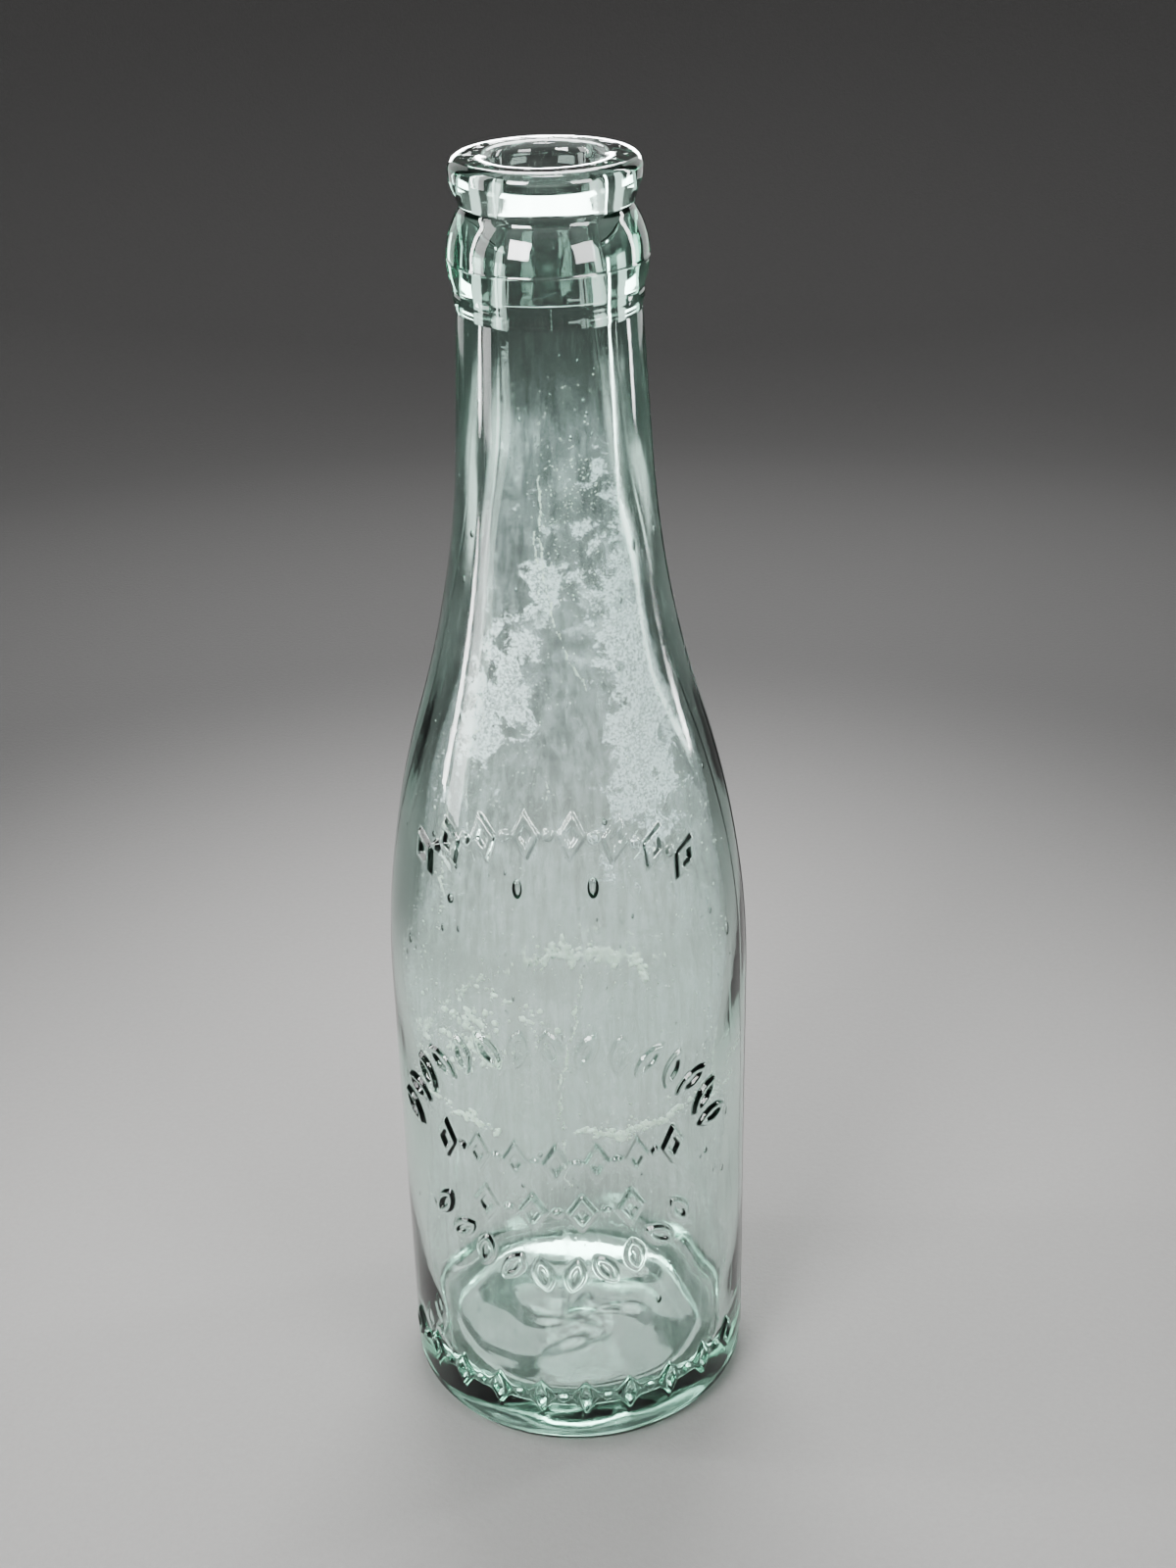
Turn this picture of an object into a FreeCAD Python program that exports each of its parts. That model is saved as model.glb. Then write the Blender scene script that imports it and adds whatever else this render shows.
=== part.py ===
"""A clear glass soda bottle with a crown finish, and the mineral film dried on its inner wall.

Millimetres. The origin is the centre of the foot ring, on the surface that the bottle stands on.
+Z is up through the mouth, and the raised ornament faces -Y.
"""
import FreeCAD, Part
import math
import os

import Sketcher

DIMENSIONS = {
    # body and heel
    "total_height": 207.8,
    "body_radius": 28.7,
    "wall": 3.5,
    "heel_radius": 3.5,
    "foot_width": 2.2,
    "foot_round": 0.8,
    "push_up": 2.4,
    "floor_height": 5.4,
    "floor_corner": 6.5,
    # shoulder and neck
    "shoulder_height": 78.6,
    "shoulder_radius": 156.9,
    "slope_angle": 17.25,
    "flare_radius": 172.8,
    "neck_taper": 3.3,
    # crown finish
    "ring_height": 188.2,
    "ring_radius": 13.1,
    "collar_height": 194.3,
    "collar_radius": 14.05,
    "collar_arc": 11.5,
    "waist_radius": 12.05,
    "waist_arc": 1.5,
    "bead_radius": 13.3,
    "bead_bottom": 205.0,
    "lip_round": 1.6,
    "bore_radius": 7.9,
    "rim_round": 1.5,
    # raised ornament
    "relief_height": 0.6,
    "stroke": 1.1,
    # mineral film
    "film_thickness": 0.15,
    "haze_bottom": 92.0,
    "haze_top": 176.0,
    "tide_bottom": 62.5,
    "tide_top": 65.0,
}

doc = FreeCAD.newDocument("SodaBottle")
sheet = doc.addObject("Spreadsheet::Sheet", "Dimensions")
for row, (alias, value) in enumerate(DIMENSIONS.items(), start=1):
    sheet.set(f"A{row}", alias)
    sheet.set(f"B{row}", str(value))
    sheet.setAlias(f"B{row}", alias)
doc.recompute()


def size(alias):
    """The present value of one driving dimension."""
    return float(getattr(sheet, alias))


class Outline:
    """A closed outline in a body's XZ plane, drawn edge by edge, with its sizes bound to the sheet."""

    FIRST, LAST, CENTRE = 1, 2, 3
    ORIGIN = (-1, 1)

    def __init__(self, body, name):
        self.sketch = body.newObject("Sketcher::SketchObject", name)
        plane = next(f for f in body.Origin.OriginFeatures if f.Role == "XZ_Plane")
        self.sketch.AttachmentSupport = [(plane, "")]
        self.sketch.MapMode = "FlatFace"
        self.ends = {}

    def line(self, start, end):
        edge = self.sketch.addGeometry(Part.LineSegment(vector(start), vector(end)), False)
        self.ends[edge] = (self.FIRST, self.LAST)
        return edge

    def arc(self, centre, radius, start_deg, end_deg):
        """An arc from start_deg to end_deg; a falling angle draws it clockwise."""
        circle = Part.Circle(vector(centre), FreeCAD.Vector(0, 0, 1), radius)
        low, high = sorted((math.radians(start_deg), math.radians(end_deg)))
        edge = self.sketch.addGeometry(Part.ArcOfCircle(circle, low, high), False)
        forward = end_deg > start_deg
        self.ends[edge] = (self.FIRST, self.LAST) if forward else (self.LAST, self.FIRST)
        return edge

    def start(self, edge):
        return edge, self.ends[edge][0]

    def end(self, edge):
        return edge, self.ends[edge][1]

    def corner(self, before, after):
        self.add("Coincident", *self.end(before), *self.start(after))

    def smooth(self, before, after):
        self.add("Tangent", *self.end(before), *self.start(after))

    def level(self, *edges):
        for edge in edges:
            self.add("Horizontal", edge)

    def upright(self, *edges):
        for edge in edges:
            self.add("Vertical", edge)

    def add(self, kind, *arguments):
        return self.sketch.addConstraint(Sketcher.Constraint(kind, *arguments))

    def bind(self, kind, arguments, value, expression):
        """A dimension that follows an expression of sheet cells."""
        index = self.add(kind, *arguments, value)
        self.sketch.setExpression(f"Constraints[{index}]", expression)

    def out(self, point, value, expression):
        """Distance of a point from the axis."""
        self.bind("DistanceX", (*self.ORIGIN, *point), value, expression)

    def up(self, point, value, expression):
        """Height of a point above the origin."""
        self.bind("DistanceY", (*self.ORIGIN, *point), value, expression)

    def radius(self, edge, value, expression):
        self.bind("Radius", (edge,), value, expression)


def vector(point):
    return FreeCAD.Vector(point[0], point[1], 0)


def polar(centre, radius, degrees):
    angle = math.radians(degrees)
    return centre[0] + radius * math.cos(angle), centre[1] + radius * math.sin(angle)


def revolve(body, kind, name, sketch, angle=360):
    """A full turn of a sketch about the body's Z axis."""
    feature = body.newObject(kind, name)
    feature.Profile = sketch
    feature.ReferenceAxis = (sketch, ["V_Axis"])
    feature.Angle = angle
    body.Tip = feature
    doc.recompute()
    return feature


# Points that several outlines share. The shoulder is a convex arc and the flare a concave one, and
# both have the same slope where they meet.
SHOULDER_CENTRE = (size("body_radius") - size("shoulder_radius"), size("shoulder_height"))
SLOPE = size("slope_angle")
FLARE_CENTRE = polar(SHOULDER_CENTRE, size("shoulder_radius") + size("flare_radius"), SLOPE)
INNER_RADIUS = size("body_radius") - size("wall")
INNER_SHOULDER_RADIUS = size("shoulder_radius") - size("wall")
INNER_SLOPE_POINT = polar(SHOULDER_CENTRE, INNER_SHOULDER_RADIUS, SLOPE)
INNER_FLARE_RADIUS = (INNER_SLOPE_POINT[0] - size("bore_radius")) / (1 - math.cos(math.radians(SLOPE)))
INNER_FLARE_CENTRE = polar(INNER_SLOPE_POINT, INNER_FLARE_RADIUS, SLOPE)


def draw_outer_outline(body):
    """Foot, heel, body, shoulder, flare, neck, collar, waist and bead, closed along the axis."""
    o = Outline(body, "OuterOutline")
    wall_x = size("body_radius")
    heel = size("heel_radius")
    taper = size("neck_taper")
    flare_end = polar(FLARE_CENTRE, size("flare_radius"), 180 + taper)
    neck_rise = size("ring_height") - flare_end[1]
    neck_top = (flare_end[0] - neck_rise * math.tan(math.radians(taper)), size("ring_height"))
    ring_x = size("ring_radius")
    collar_centre = (size("collar_radius") - size("collar_arc"), size("collar_height"))
    collar_start = -math.degrees(math.acos((ring_x - collar_centre[0]) / size("collar_arc")))
    ring_top = polar(collar_centre, size("collar_arc"), collar_start)
    waist_centre_x = size("waist_radius") + size("waist_arc")
    reach = size("collar_arc") + size("waist_arc")
    collar_end = math.degrees(math.acos((waist_centre_x - collar_centre[0]) / reach))
    waist_centre = polar(collar_centre, reach, collar_end)
    bead_base = (size("bead_radius"), size("bead_bottom"))
    to_bead = (bead_base[0] - waist_centre[0], bead_base[1] - waist_centre[1])
    bead_gap = math.hypot(*to_bead)
    underside = math.degrees(math.atan2(to_bead[1], to_bead[0]) + math.acos(size("waist_arc") / bead_gap))
    waist_end = polar(waist_centre, size("waist_arc"), underside)
    lip = size("lip_round")
    top = size("total_height")
    lip_centre = (bead_base[0] - lip, top - lip)

    foot = o.line((0, 0), (wall_x - heel, 0))
    heel_arc = o.arc((wall_x - heel, heel), heel, -90, 0)
    side = o.line((wall_x, heel), (wall_x, size("shoulder_height")))
    shoulder = o.arc(SHOULDER_CENTRE, size("shoulder_radius"), 0, SLOPE)
    flare = o.arc(FLARE_CENTRE, size("flare_radius"), 180 + SLOPE, 180 + taper)
    neck = o.line(flare_end, neck_top)
    step = o.line(neck_top, (ring_x, size("ring_height")))
    ring = o.line((ring_x, size("ring_height")), ring_top)
    collar = o.arc(collar_centre, size("collar_arc"), collar_start, collar_end)
    waist = o.arc(waist_centre, size("waist_arc"), 180 + collar_end, underside)
    slope = o.line(waist_end, bead_base)
    land = o.line(bead_base, (bead_base[0], top - lip))
    lip_arc = o.arc(lip_centre, lip, 0, 90)
    crown = o.line((lip_centre[0], top), (0, top))
    axis = o.line((0, top), (0, 0))

    for before, after in ((neck, step), (step, ring), (ring, collar), (slope, land),
                          (crown, axis), (axis, foot)):
        o.corner(before, after)
    for before, after in ((foot, heel_arc), (heel_arc, side), (side, shoulder), (shoulder, flare),
                          (flare, neck), (collar, waist), (waist, slope), (land, lip_arc),
                          (lip_arc, crown)):
        o.smooth(before, after)
    o.level(foot, step, crown)
    o.upright(side, ring, land, axis)
    o.add("Coincident", *o.start(foot), *o.ORIGIN)
    o.radius(heel_arc, heel, "Dimensions.heel_radius")
    o.out(o.end(side), wall_x, "Dimensions.body_radius")
    o.up(o.end(side), size("shoulder_height"), "Dimensions.shoulder_height")
    o.radius(shoulder, size("shoulder_radius"), "Dimensions.shoulder_radius")
    o.up(o.end(shoulder), polar(SHOULDER_CENTRE, size("shoulder_radius"), SLOPE)[1],
         "Dimensions.shoulder_height + Dimensions.shoulder_radius * sin(Dimensions.slope_angle * 1 deg)")
    o.radius(flare, size("flare_radius"), "Dimensions.flare_radius")
    o.bind("Angle", (neck,), math.radians(90 + taper), "90 deg + Dimensions.neck_taper * 1 deg")
    o.up(o.end(neck), size("ring_height"), "Dimensions.ring_height")
    o.out(o.end(step), ring_x, "Dimensions.ring_radius")
    o.radius(collar, size("collar_arc"), "Dimensions.collar_arc")
    o.out((collar, o.CENTRE), collar_centre[0], "Dimensions.collar_radius - Dimensions.collar_arc")
    o.up((collar, o.CENTRE), collar_centre[1], "Dimensions.collar_height")
    o.radius(waist, size("waist_arc"), "Dimensions.waist_arc")
    o.out((waist, o.CENTRE), waist_centre_x, "Dimensions.waist_radius + Dimensions.waist_arc")
    o.out(o.start(land), bead_base[0], "Dimensions.bead_radius")
    o.up(o.start(land), bead_base[1], "Dimensions.bead_bottom")
    o.radius(lip_arc, lip, "Dimensions.lip_round")
    o.up(o.end(crown), top, "Dimensions.total_height")
    return o.sketch


def draw_cavity_outline(body):
    """Floor, inner wall, inner shoulder, inner flare, throat and rounded rim, run out past the top."""
    o = Outline(body, "CavityOutline")
    floor = size("floor_height")
    corner = size("floor_corner")
    bore = size("bore_radius")
    rim = size("rim_round")
    top = size("total_height")
    rim_x = bore + rim
    run_out = top + rim

    bottom = o.line((0, floor), (INNER_RADIUS - corner, floor))
    corner_arc = o.arc((INNER_RADIUS - corner, floor + corner), corner, -90, 0)
    side = o.line((INNER_RADIUS, floor + corner), (INNER_RADIUS, size("shoulder_height")))
    shoulder = o.arc(SHOULDER_CENTRE, INNER_SHOULDER_RADIUS, 0, SLOPE)
    flare = o.arc(INNER_FLARE_CENTRE, INNER_FLARE_RADIUS, 180 + SLOPE, 180)
    throat = o.line((bore, INNER_FLARE_CENTRE[1]), (bore, top - rim))
    rim_arc = o.arc((rim_x, top - rim), rim, 180, 90)
    mouth = o.line((rim_x, top), (rim_x, run_out))
    lid = o.line((rim_x, run_out), (0, run_out))
    axis = o.line((0, run_out), (0, floor))

    for before, after in ((rim_arc, mouth), (mouth, lid), (lid, axis), (axis, bottom)):
        o.corner(before, after)
    for before, after in ((bottom, corner_arc), (corner_arc, side), (side, shoulder),
                          (shoulder, flare), (flare, throat), (throat, rim_arc)):
        o.smooth(before, after)
    o.level(bottom, lid)
    o.upright(side, throat, mouth, axis)
    o.add("PointOnObject", *o.start(bottom), -2)
    o.up(o.start(bottom), floor, "Dimensions.floor_height")
    o.radius(corner_arc, corner, "Dimensions.floor_corner")
    o.out(o.end(side), INNER_RADIUS, "Dimensions.body_radius - Dimensions.wall")
    o.up(o.end(side), size("shoulder_height"), "Dimensions.shoulder_height")
    o.radius(shoulder, INNER_SHOULDER_RADIUS, "Dimensions.shoulder_radius - Dimensions.wall")
    o.up(o.end(shoulder), INNER_SLOPE_POINT[1],
         "Dimensions.shoulder_height"
         " + (Dimensions.shoulder_radius - Dimensions.wall) * sin(Dimensions.slope_angle * 1 deg)")
    o.out(o.start(throat), bore, "Dimensions.bore_radius")
    o.radius(rim_arc, rim, "Dimensions.rim_round")
    o.up(o.end(rim_arc), top, "Dimensions.total_height")
    o.out(o.end(rim_arc), rim_x, "Dimensions.bore_radius + Dimensions.rim_round")
    o.up(o.end(mouth), run_out, "Dimensions.total_height + Dimensions.rim_round")
    return o.sketch


def draw_push_up_outline(body):
    """The shallow dome under the base, inside the foot ring, run out below the base."""
    o = Outline(body, "PushUpOutline")
    foot_x = size("body_radius") - size("heel_radius") - size("foot_width")
    rise = size("push_up")
    dome_radius = (foot_x ** 2 + rise ** 2) / (2 * rise)
    dome_centre = (0, rise - dome_radius)
    edge_deg = math.degrees(math.asin(-dome_centre[1] / dome_radius))

    floor = o.line((0, -rise), (foot_x, -rise))
    drop = o.line((foot_x, -rise), (foot_x, 0))
    dome = o.arc(dome_centre, dome_radius, edge_deg, 90)
    axis = o.line((0, rise), (0, -rise))

    for before, after in ((floor, drop), (drop, dome), (dome, axis), (axis, floor)):
        o.corner(before, after)
    o.level(floor)
    o.upright(drop, axis)
    o.add("PointOnObject", dome, o.CENTRE, -2)
    o.add("PointOnObject", *o.end(dome), -2)
    o.add("PointOnObject", *o.start(dome), -1)
    o.out(o.start(dome), foot_x,
          "Dimensions.body_radius - Dimensions.heel_radius - Dimensions.foot_width")
    o.up(o.end(dome), rise, "Dimensions.push_up")
    o.bind("DistanceY", (*o.start(floor), *o.ORIGIN), rise, "Dimensions.push_up")
    return o.sketch


def make_blown_glass():
    """The pressed and blown glass as one body: blank, foot dome, cavity and the rounded foot edge."""
    body = doc.addObject("PartDesign::Body", "BlownGlass")
    revolve(body, "PartDesign::Revolution", "Blank", draw_outer_outline(body))
    blank_volume = body.Shape.Volume
    push_up = revolve(body, "PartDesign::Groove", "PushUp", draw_push_up_outline(body))
    domed_volume = body.Shape.Volume
    foot_x = size("body_radius") - size("heel_radius") - size("foot_width")
    inner_foot = next(
        f"Edge{n}" for n, edge in enumerate(push_up.Shape.Edges, start=1)
        if edge.Curve.TypeId == "Part::GeomCircle" and abs(edge.Curve.Radius - foot_x) < 0.01
    )
    fillet = body.newObject("PartDesign::Fillet", "FootRound")
    fillet.Base = (push_up, [inner_foot])
    fillet.setExpression("Radius", "Dimensions.foot_round")
    body.Tip = fillet
    doc.recompute()
    rounded_volume = body.Shape.Volume
    revolve(body, "PartDesign::Groove", "Cavity", draw_cavity_outline(body))
    volumes = (blank_volume, domed_volume, rounded_volume, body.Shape.Volume)
    if not all(before > after for before, after in zip(volumes, volumes[1:])):
        raise RuntimeError(f"a cut removed nothing: {volumes}")
    print("blank, domed, rounded, hollow volumes:", [round(v) for v in volumes])
    return body


def surface_radius(height):
    """Radius of the plain outer wall at a height on the body or the shoulder."""
    rise = height - size("shoulder_height")
    if rise <= 0:
        return size("body_radius")
    return SHOULDER_CENTRE[0] + math.sqrt(size("shoulder_radius") ** 2 - rise ** 2)


def polygon(points):
    corners = [FreeCAD.Vector(u, 0, v) for u, v in points]
    return Part.Face(Part.makePolygon(corners + corners[:1]))


def lozenge(width, tall):
    """A hollow lozenge, drawn flat in the XZ plane about the origin."""
    inset = size("stroke") * math.hypot(width, tall) / (width * tall / 2)
    faces = []
    for scale in (1, 1 - inset):
        half_u = scale * width / 2
        half_v = scale * tall / 2
        faces.append(polygon([(0, half_v), (half_u, 0), (0, -half_v), (-half_u, 0)]))
    return faces[0].cut(faces[1])


def leaf(width, tall):
    """A hollow pointed leaf: two arcs that meet at its tips."""
    centre_u = (tall ** 2 - width ** 2) / (4 * width)
    outer_radius = centre_u + width / 2
    faces = []
    for radius in (outer_radius, outer_radius - size("stroke")):
        tip = FreeCAD.Vector(0, 0, math.sqrt(radius ** 2 - centre_u ** 2))
        belly = FreeCAD.Vector(radius - centre_u, 0, 0)
        right = Part.Arc(tip, belly, -tip).toShape()
        left = Part.Arc(-tip, -belly, tip).toShape()
        faces.append(Part.Face(Part.Wire([right, left])))
    return faces[0].cut(faces[1])


def dot(diameter):
    """A round dot in the XZ plane."""
    circle = Part.Circle(FreeCAD.Vector(), FreeCAD.Vector(0, 1, 0), diameter / 2)
    return Part.Face(Part.Wire([circle.toShape()]))


def stand_on_wall(face, along, height, tilt_deg):
    """A short radial prism of a flat mark, at a distance along the wall from the front line."""
    reach = 4 * size("relief_height")
    radius = surface_radius(height)
    mark = face.copy()
    mark.rotate(FreeCAD.Vector(), FreeCAD.Vector(0, 1, 0), tilt_deg)
    mark.translate(FreeCAD.Vector(0, -radius - reach, height))
    prism = mark.extrude(FreeCAD.Vector(0, 2 * reach, 0))
    prism.rotate(FreeCAD.Vector(), FreeCAD.Vector(0, 0, 1), math.degrees(along / radius))
    return prism


def straight_row(faces, height, pitch):
    """Marks side by side at one height."""
    middle = (len(faces) - 1) / 2
    return [stand_on_wall(face, (n - middle) * pitch, height, 0) for n, face in enumerate(faces)]


def curved_row(faces, centre_height, radius, half_angle, lean=0):
    """Marks round an arch; a negative radius hangs them below its centre. Their lean alternates."""
    prisms = []
    for n, face in enumerate(faces):
        angle = half_angle * (2 * n / (len(faces) - 1) - 1)
        along = abs(radius) * math.sin(math.radians(angle))
        height = centre_height + radius * math.cos(math.radians(angle))
        turn = math.copysign(angle, angle * radius) + lean * (-1) ** n
        prisms.append(stand_on_wall(face, along, height, turn))
    return prisms


def relief_skin():
    """A shell that follows the outer wall, from just under its surface to the height of the relief."""
    low = size("heel_radius")
    top = size("shoulder_height")
    wall_x = size("body_radius")
    proud = size("relief_height")
    edges = []
    rims = []
    for offset in (proud, -proud):
        radius = size("shoulder_radius") + offset
        ends = [polar(SHOULDER_CENTRE, radius, angle) for angle in (0, SLOPE / 2, SLOPE)]
        foot, low_end, middle, high_end = (
            FreeCAD.Vector(x, 0, z) for x, z in [(wall_x + offset, low), *ends]
        )
        edges.append(Part.LineSegment(foot, low_end).toShape())
        edges.append(Part.Arc(low_end, middle, high_end).toShape())
        rims.append((foot, high_end))
    edges.append(Part.LineSegment(rims[0][0], rims[1][0]).toShape())
    edges.append(Part.LineSegment(rims[0][1], rims[1][1]).toShape())
    outline = Part.Wire(Part.__sortEdges__(edges))
    return Part.Face(outline).revolve(FreeCAD.Vector(), FreeCAD.Vector(0, 0, 1), 360)


def alternate(first, second, count):
    """A row of two kinds of mark in turn, which starts and ends with the first."""
    return [second if n % 2 else first for n in range(count)]


def make_relief():
    """Raised ornament of lozenges, leaves and dots, in the rows of an embossed bottle."""
    small = dot(1.6)
    rows = [
        curved_row(alternate(lozenge(4.2, 7.2), small, 15), 78.6, 37.4, 36),
        curved_row([leaf(3.2, 7.0)] * 15, 52.1, 29.4, 72, lean=16),
        straight_row(alternate(lozenge(4.2, 7.8), small, 13), 59.8, 3.2),
        straight_row(alternate(lozenge(4.6, 7.4), small, 7), 50.2, 3.9),
        curved_row([leaf(3.2, 6.6)] * 10, 66.0, -28.5, 46, lean=-16),
        straight_row(alternate(lozenge(4.2, 6.8), small, 19), 11.4, 3.7),
    ]
    prisms = [prism for row in rows for prism in row]
    feature = doc.addObject("Part::Feature", "Relief")
    feature.Shape = Part.makeCompound(prisms).common(relief_skin())
    print("relief marks:", len(prisms), "solids:", len(feature.Shape.Solids))
    return feature


def make_bottle():
    """The bottle is one piece of glass: the relief is raised from the same gather."""
    body = make_blown_glass()
    relief = make_relief()
    bottle = doc.addObject("Part::Fuse", "GlassBottle")
    bottle.Base = body
    bottle.Tool = relief
    bottle.Label = "glass_bottle"
    doc.recompute()
    return bottle


def make_neck_haze():
    """A thin film on the inner wall from the upper shoulder into the neck."""
    body = doc.addObject("PartDesign::Body", "NeckHaze")
    body.Label = "neck_haze"
    o = Outline(body, "HazeOutline")
    film = size("film_thickness")
    low = size("haze_bottom")
    high = size("haze_top")
    layers = []
    for offset in (0, film):
        shoulder_r = INNER_SHOULDER_RADIUS - offset
        flare_r = INNER_FLARE_RADIUS + offset
        start = math.degrees(math.asin((low - SHOULDER_CENTRE[1]) / shoulder_r))
        finish = 180 + math.degrees(math.asin((INNER_FLARE_CENTRE[1] - high) / flare_r))
        shoulder = o.arc(SHOULDER_CENTRE, shoulder_r, start, SLOPE)
        flare = o.arc(INNER_FLARE_CENTRE, flare_r, 180 + SLOPE, finish)
        o.smooth(shoulder, flare)
        layers.append((shoulder, flare, polar(SHOULDER_CENTRE, shoulder_r, start),
                       polar(INNER_FLARE_CENTRE, flare_r, finish)))
    (outer_shoulder, outer_flare, outer_low, outer_high) = layers[0]
    (inner_shoulder, inner_flare, inner_low, inner_high) = layers[1]
    low_edge = o.line(outer_low, inner_low)
    high_edge = o.line(outer_high, inner_high)
    o.level(low_edge, high_edge)
    for edge, outer, inner in ((low_edge, o.start(outer_shoulder), o.start(inner_shoulder)),
                               (high_edge, o.end(outer_flare), o.end(inner_flare))):
        o.add("Coincident", *o.start(edge), *outer)
        o.add("Coincident", *o.end(edge), *inner)
    for edge in (outer_shoulder, inner_shoulder):
        o.bind("DistanceX", (edge, o.CENTRE, *o.ORIGIN), -SHOULDER_CENTRE[0],
               "Dimensions.shoulder_radius - Dimensions.body_radius")
        o.up((edge, o.CENTRE), SHOULDER_CENTRE[1], "Dimensions.shoulder_height")
    o.radius(outer_shoulder, INNER_SHOULDER_RADIUS, "Dimensions.shoulder_radius - Dimensions.wall")
    o.radius(inner_shoulder, INNER_SHOULDER_RADIUS - film,
             "Dimensions.shoulder_radius - Dimensions.wall - Dimensions.film_thickness")
    o.add("Coincident", outer_flare, o.CENTRE, inner_flare, o.CENTRE)
    o.up(o.end(outer_shoulder), INNER_SLOPE_POINT[1],
         "Dimensions.shoulder_height"
         " + (Dimensions.shoulder_radius - Dimensions.wall) * sin(Dimensions.slope_angle * 1 deg)")
    o.radius(outer_flare, INNER_FLARE_RADIUS,
             "(Dimensions.body_radius - Dimensions.shoulder_radius"
             " + (Dimensions.shoulder_radius - Dimensions.wall) * cos(Dimensions.slope_angle * 1 deg)"
             " - Dimensions.bore_radius) / (1 - cos(Dimensions.slope_angle * 1 deg))")
    o.up(o.start(low_edge), low, "Dimensions.haze_bottom")
    o.up(o.start(high_edge), high, "Dimensions.haze_top")
    revolve(body, "PartDesign::Revolution", "HazeFilm", o.sketch)
    return body


def make_tide_line():
    """A narrow ring of the same deposit on the inner wall, where liquid once stood and dried."""
    body = doc.addObject("PartDesign::Body", "TideLine")
    body.Label = "tide_line"
    o = Outline(body, "TideOutline")
    inside = INNER_RADIUS - size("film_thickness")
    low = size("tide_bottom")
    high = size("tide_top")
    corners = [(inside, low), (INNER_RADIUS, low), (INNER_RADIUS, high), (inside, high)]
    edges = [o.line(a, b) for a, b in zip(corners, corners[1:] + corners[:1])]
    for before, after in zip(edges, edges[1:] + edges[:1]):
        o.corner(before, after)
    bottom, wall_side, top, inner_side = edges
    o.level(bottom, top)
    o.upright(wall_side, inner_side)
    o.out(o.start(bottom), inside,
          "Dimensions.body_radius - Dimensions.wall - Dimensions.film_thickness")
    o.out(o.end(bottom), INNER_RADIUS, "Dimensions.body_radius - Dimensions.wall")
    o.up(o.start(bottom), low, "Dimensions.tide_bottom")
    o.up(o.start(top), high, "Dimensions.tide_top")
    revolve(body, "PartDesign::Revolution", "TideFilm", o.sketch)
    return body


def check_document():
    """Stop if any object of the document failed to build."""
    for item in doc.Objects:
        if "Invalid" in item.State or "Error" in item.State:
            raise RuntimeError(f"{item.Name} failed: {item.State}")
        if item.TypeId == "Sketcher::SketchObject" and item.solve() != 0:
            raise RuntimeError(f"{item.Name} has conflicting constraints")


def write_parts(sub_parts):
    """Write each sub-part's shape to a STEP file named after its label."""
    os.makedirs("parts", exist_ok=True)
    for part in sub_parts:
        if part.Shape.isNull() or not part.Shape.isValid() or len(part.Shape.Solids) != 1:
            raise RuntimeError(f"{part.Label} is not one valid solid")
    for part in sub_parts:
        part.Shape.exportStep(f"parts/{part.Label}.step")
        print(part.Label, round(part.Shape.Volume, 1), "mm3", part.Shape.BoundBox)


SUB_PARTS = [make_bottle(), make_neck_haze(), make_tide_line()]
for sub_part in SUB_PARTS:
    sub_part.Placement = FreeCAD.Placement()
doc.recompute()
check_document()
write_parts(SUB_PARTS)
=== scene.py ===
"""Visual model of the glass soda bottle, in metres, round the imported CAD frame.

Lengths in this script are millimetres with names that say what they measure, and MM turns them into
metres where a mesh, lamp or camera is made. Angles round the bottle are degrees from its front line
(-Y) towards +X.
"""

import math

import bpy
import numpy as np
from mathutils import Matrix, Vector


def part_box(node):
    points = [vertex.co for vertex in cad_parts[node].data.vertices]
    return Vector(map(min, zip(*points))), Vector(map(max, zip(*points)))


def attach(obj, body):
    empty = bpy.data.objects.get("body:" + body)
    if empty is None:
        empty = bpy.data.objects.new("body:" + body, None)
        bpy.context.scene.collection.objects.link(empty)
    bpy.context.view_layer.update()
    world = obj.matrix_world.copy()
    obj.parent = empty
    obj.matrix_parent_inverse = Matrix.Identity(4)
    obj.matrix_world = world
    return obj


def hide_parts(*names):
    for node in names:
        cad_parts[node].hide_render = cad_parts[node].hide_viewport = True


MM = 0.001
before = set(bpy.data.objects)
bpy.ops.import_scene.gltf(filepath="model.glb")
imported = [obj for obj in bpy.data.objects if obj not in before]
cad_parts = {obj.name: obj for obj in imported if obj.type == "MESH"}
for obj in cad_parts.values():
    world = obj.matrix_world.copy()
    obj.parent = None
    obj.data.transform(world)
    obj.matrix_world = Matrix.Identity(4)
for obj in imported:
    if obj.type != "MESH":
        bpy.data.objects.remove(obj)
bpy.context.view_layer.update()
glass_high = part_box("glass_bottle")[1]
haze_low, haze_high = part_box("neck_haze")
tide_low, tide_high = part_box("tide_line")

# ---------------------------------------------------------------- sizes of the bottle
HEIGHT = glass_high[2] / MM
BODY_RADIUS = glass_high[0] / MM
WALL = 3.5
HEEL_RADIUS = 3.5
FOOT_WIDTH = 2.2
PUSH_UP = 2.4
FLOOR_HEIGHT = 5.4
FLOOR_CORNER = 6.5
SHOULDER_HEIGHT = 78.6
SHOULDER_RADIUS = 156.9
SLOPE = 17.25
FLARE_RADIUS = 172.8
NECK_TAPER = 3.3
RING_HEIGHT = 188.2
RING_RADIUS = 13.1
COLLAR_HEIGHT = 194.3
COLLAR_RADIUS = 14.05
COLLAR_ARC = 11.5
WAIST_RADIUS = 12.05
WAIST_ARC = 1.5
BEAD_RADIUS = 13.3
BEAD_BOTTOM = 205.0
LIP_ROUND = 1.6
BORE_RADIUS = 7.9
RIM_ROUND = 1.5
RELIEF_HEIGHT = 0.6
STROKE = 1.1
EJECTOR_RADIUS = 4.8
FOOT_INNER = BODY_RADIUS - HEEL_RADIUS - FOOT_WIDTH
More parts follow.
